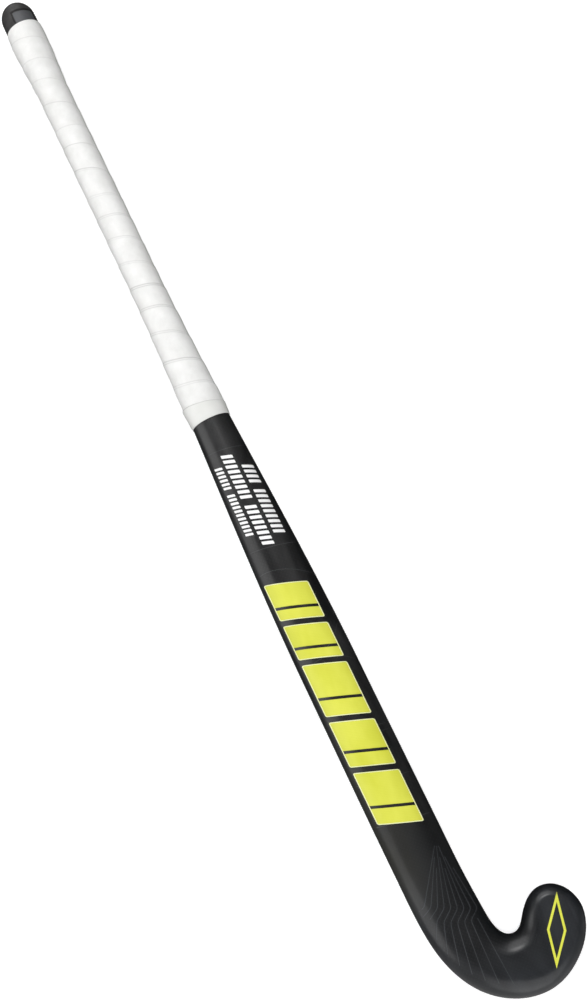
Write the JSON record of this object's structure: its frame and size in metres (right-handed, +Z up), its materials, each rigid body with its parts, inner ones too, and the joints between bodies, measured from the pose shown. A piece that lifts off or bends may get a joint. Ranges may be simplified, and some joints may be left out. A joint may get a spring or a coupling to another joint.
{
  "type": "field hockey stick",
  "caption": "Composite field hockey stick lying on its flat face: white wound grip, rubber end cap, black bowed shaft with yellow printed blocks and a J-shaped hooked head",
  "frame": {"origin": "Middle of the stick's footprint, on the surface that its flat striking face lies on", "axes": "+X runs from the butt to the bottom of the head, +Y towards the toe, +Z up from the striking face to the rounded back"},
  "size_m": [0.9269, 0.1152, 0.0425],
  "materials": {
    "carbon_laminate": "clear-coated black composite, satin to gloss",
    "web_laminate": "uncoated laminate",
    "foam": "rigid polyurethane foam, open cut cells",
    "head_filler": "dense resin filler",
    "aramid": "woven aramid in resin",
    "bung_plastic": "moulded nylon",
    "cap_rubber": "moulded satin rubber",
    "underlay_tape": "self-adhesive backing tape",
    "grip_tape": "soft matt cushioned polyurethane tape",
    "finishing_vinyl": "smooth white vinyl",
    "white_print": "white print under clear coat",
    "yellow_print": "lime yellow print under clear coat",
    "pale_print": "pale yellow print under clear coat",
    "grey_print": "dark grey print under clear coat"
  },
  "bodies": {
    "root": {"shaft_shell": "carbon_laminate", "centre_web": "web_laminate", "foam_core_toe_side": "foam", "foam_core_heel_side": "foam", "head_core": "head_filler", "face_liner": "aramid", "butt_plug": "bung_plastic", "end_cap": "cap_rubber", "grip_underlay": "underlay_tape", "grip_wrap": "grip_tape", "finishing_tape": "finishing_vinyl", "white_bars": "white_print", "colour_blocks": "yellow_print", "block_keylines": "pale_print", "toe_emblem": "yellow_print", "fan_lines": "grey_print", "sweep_lines": "grey_print"}
  },
  "joints": []
}
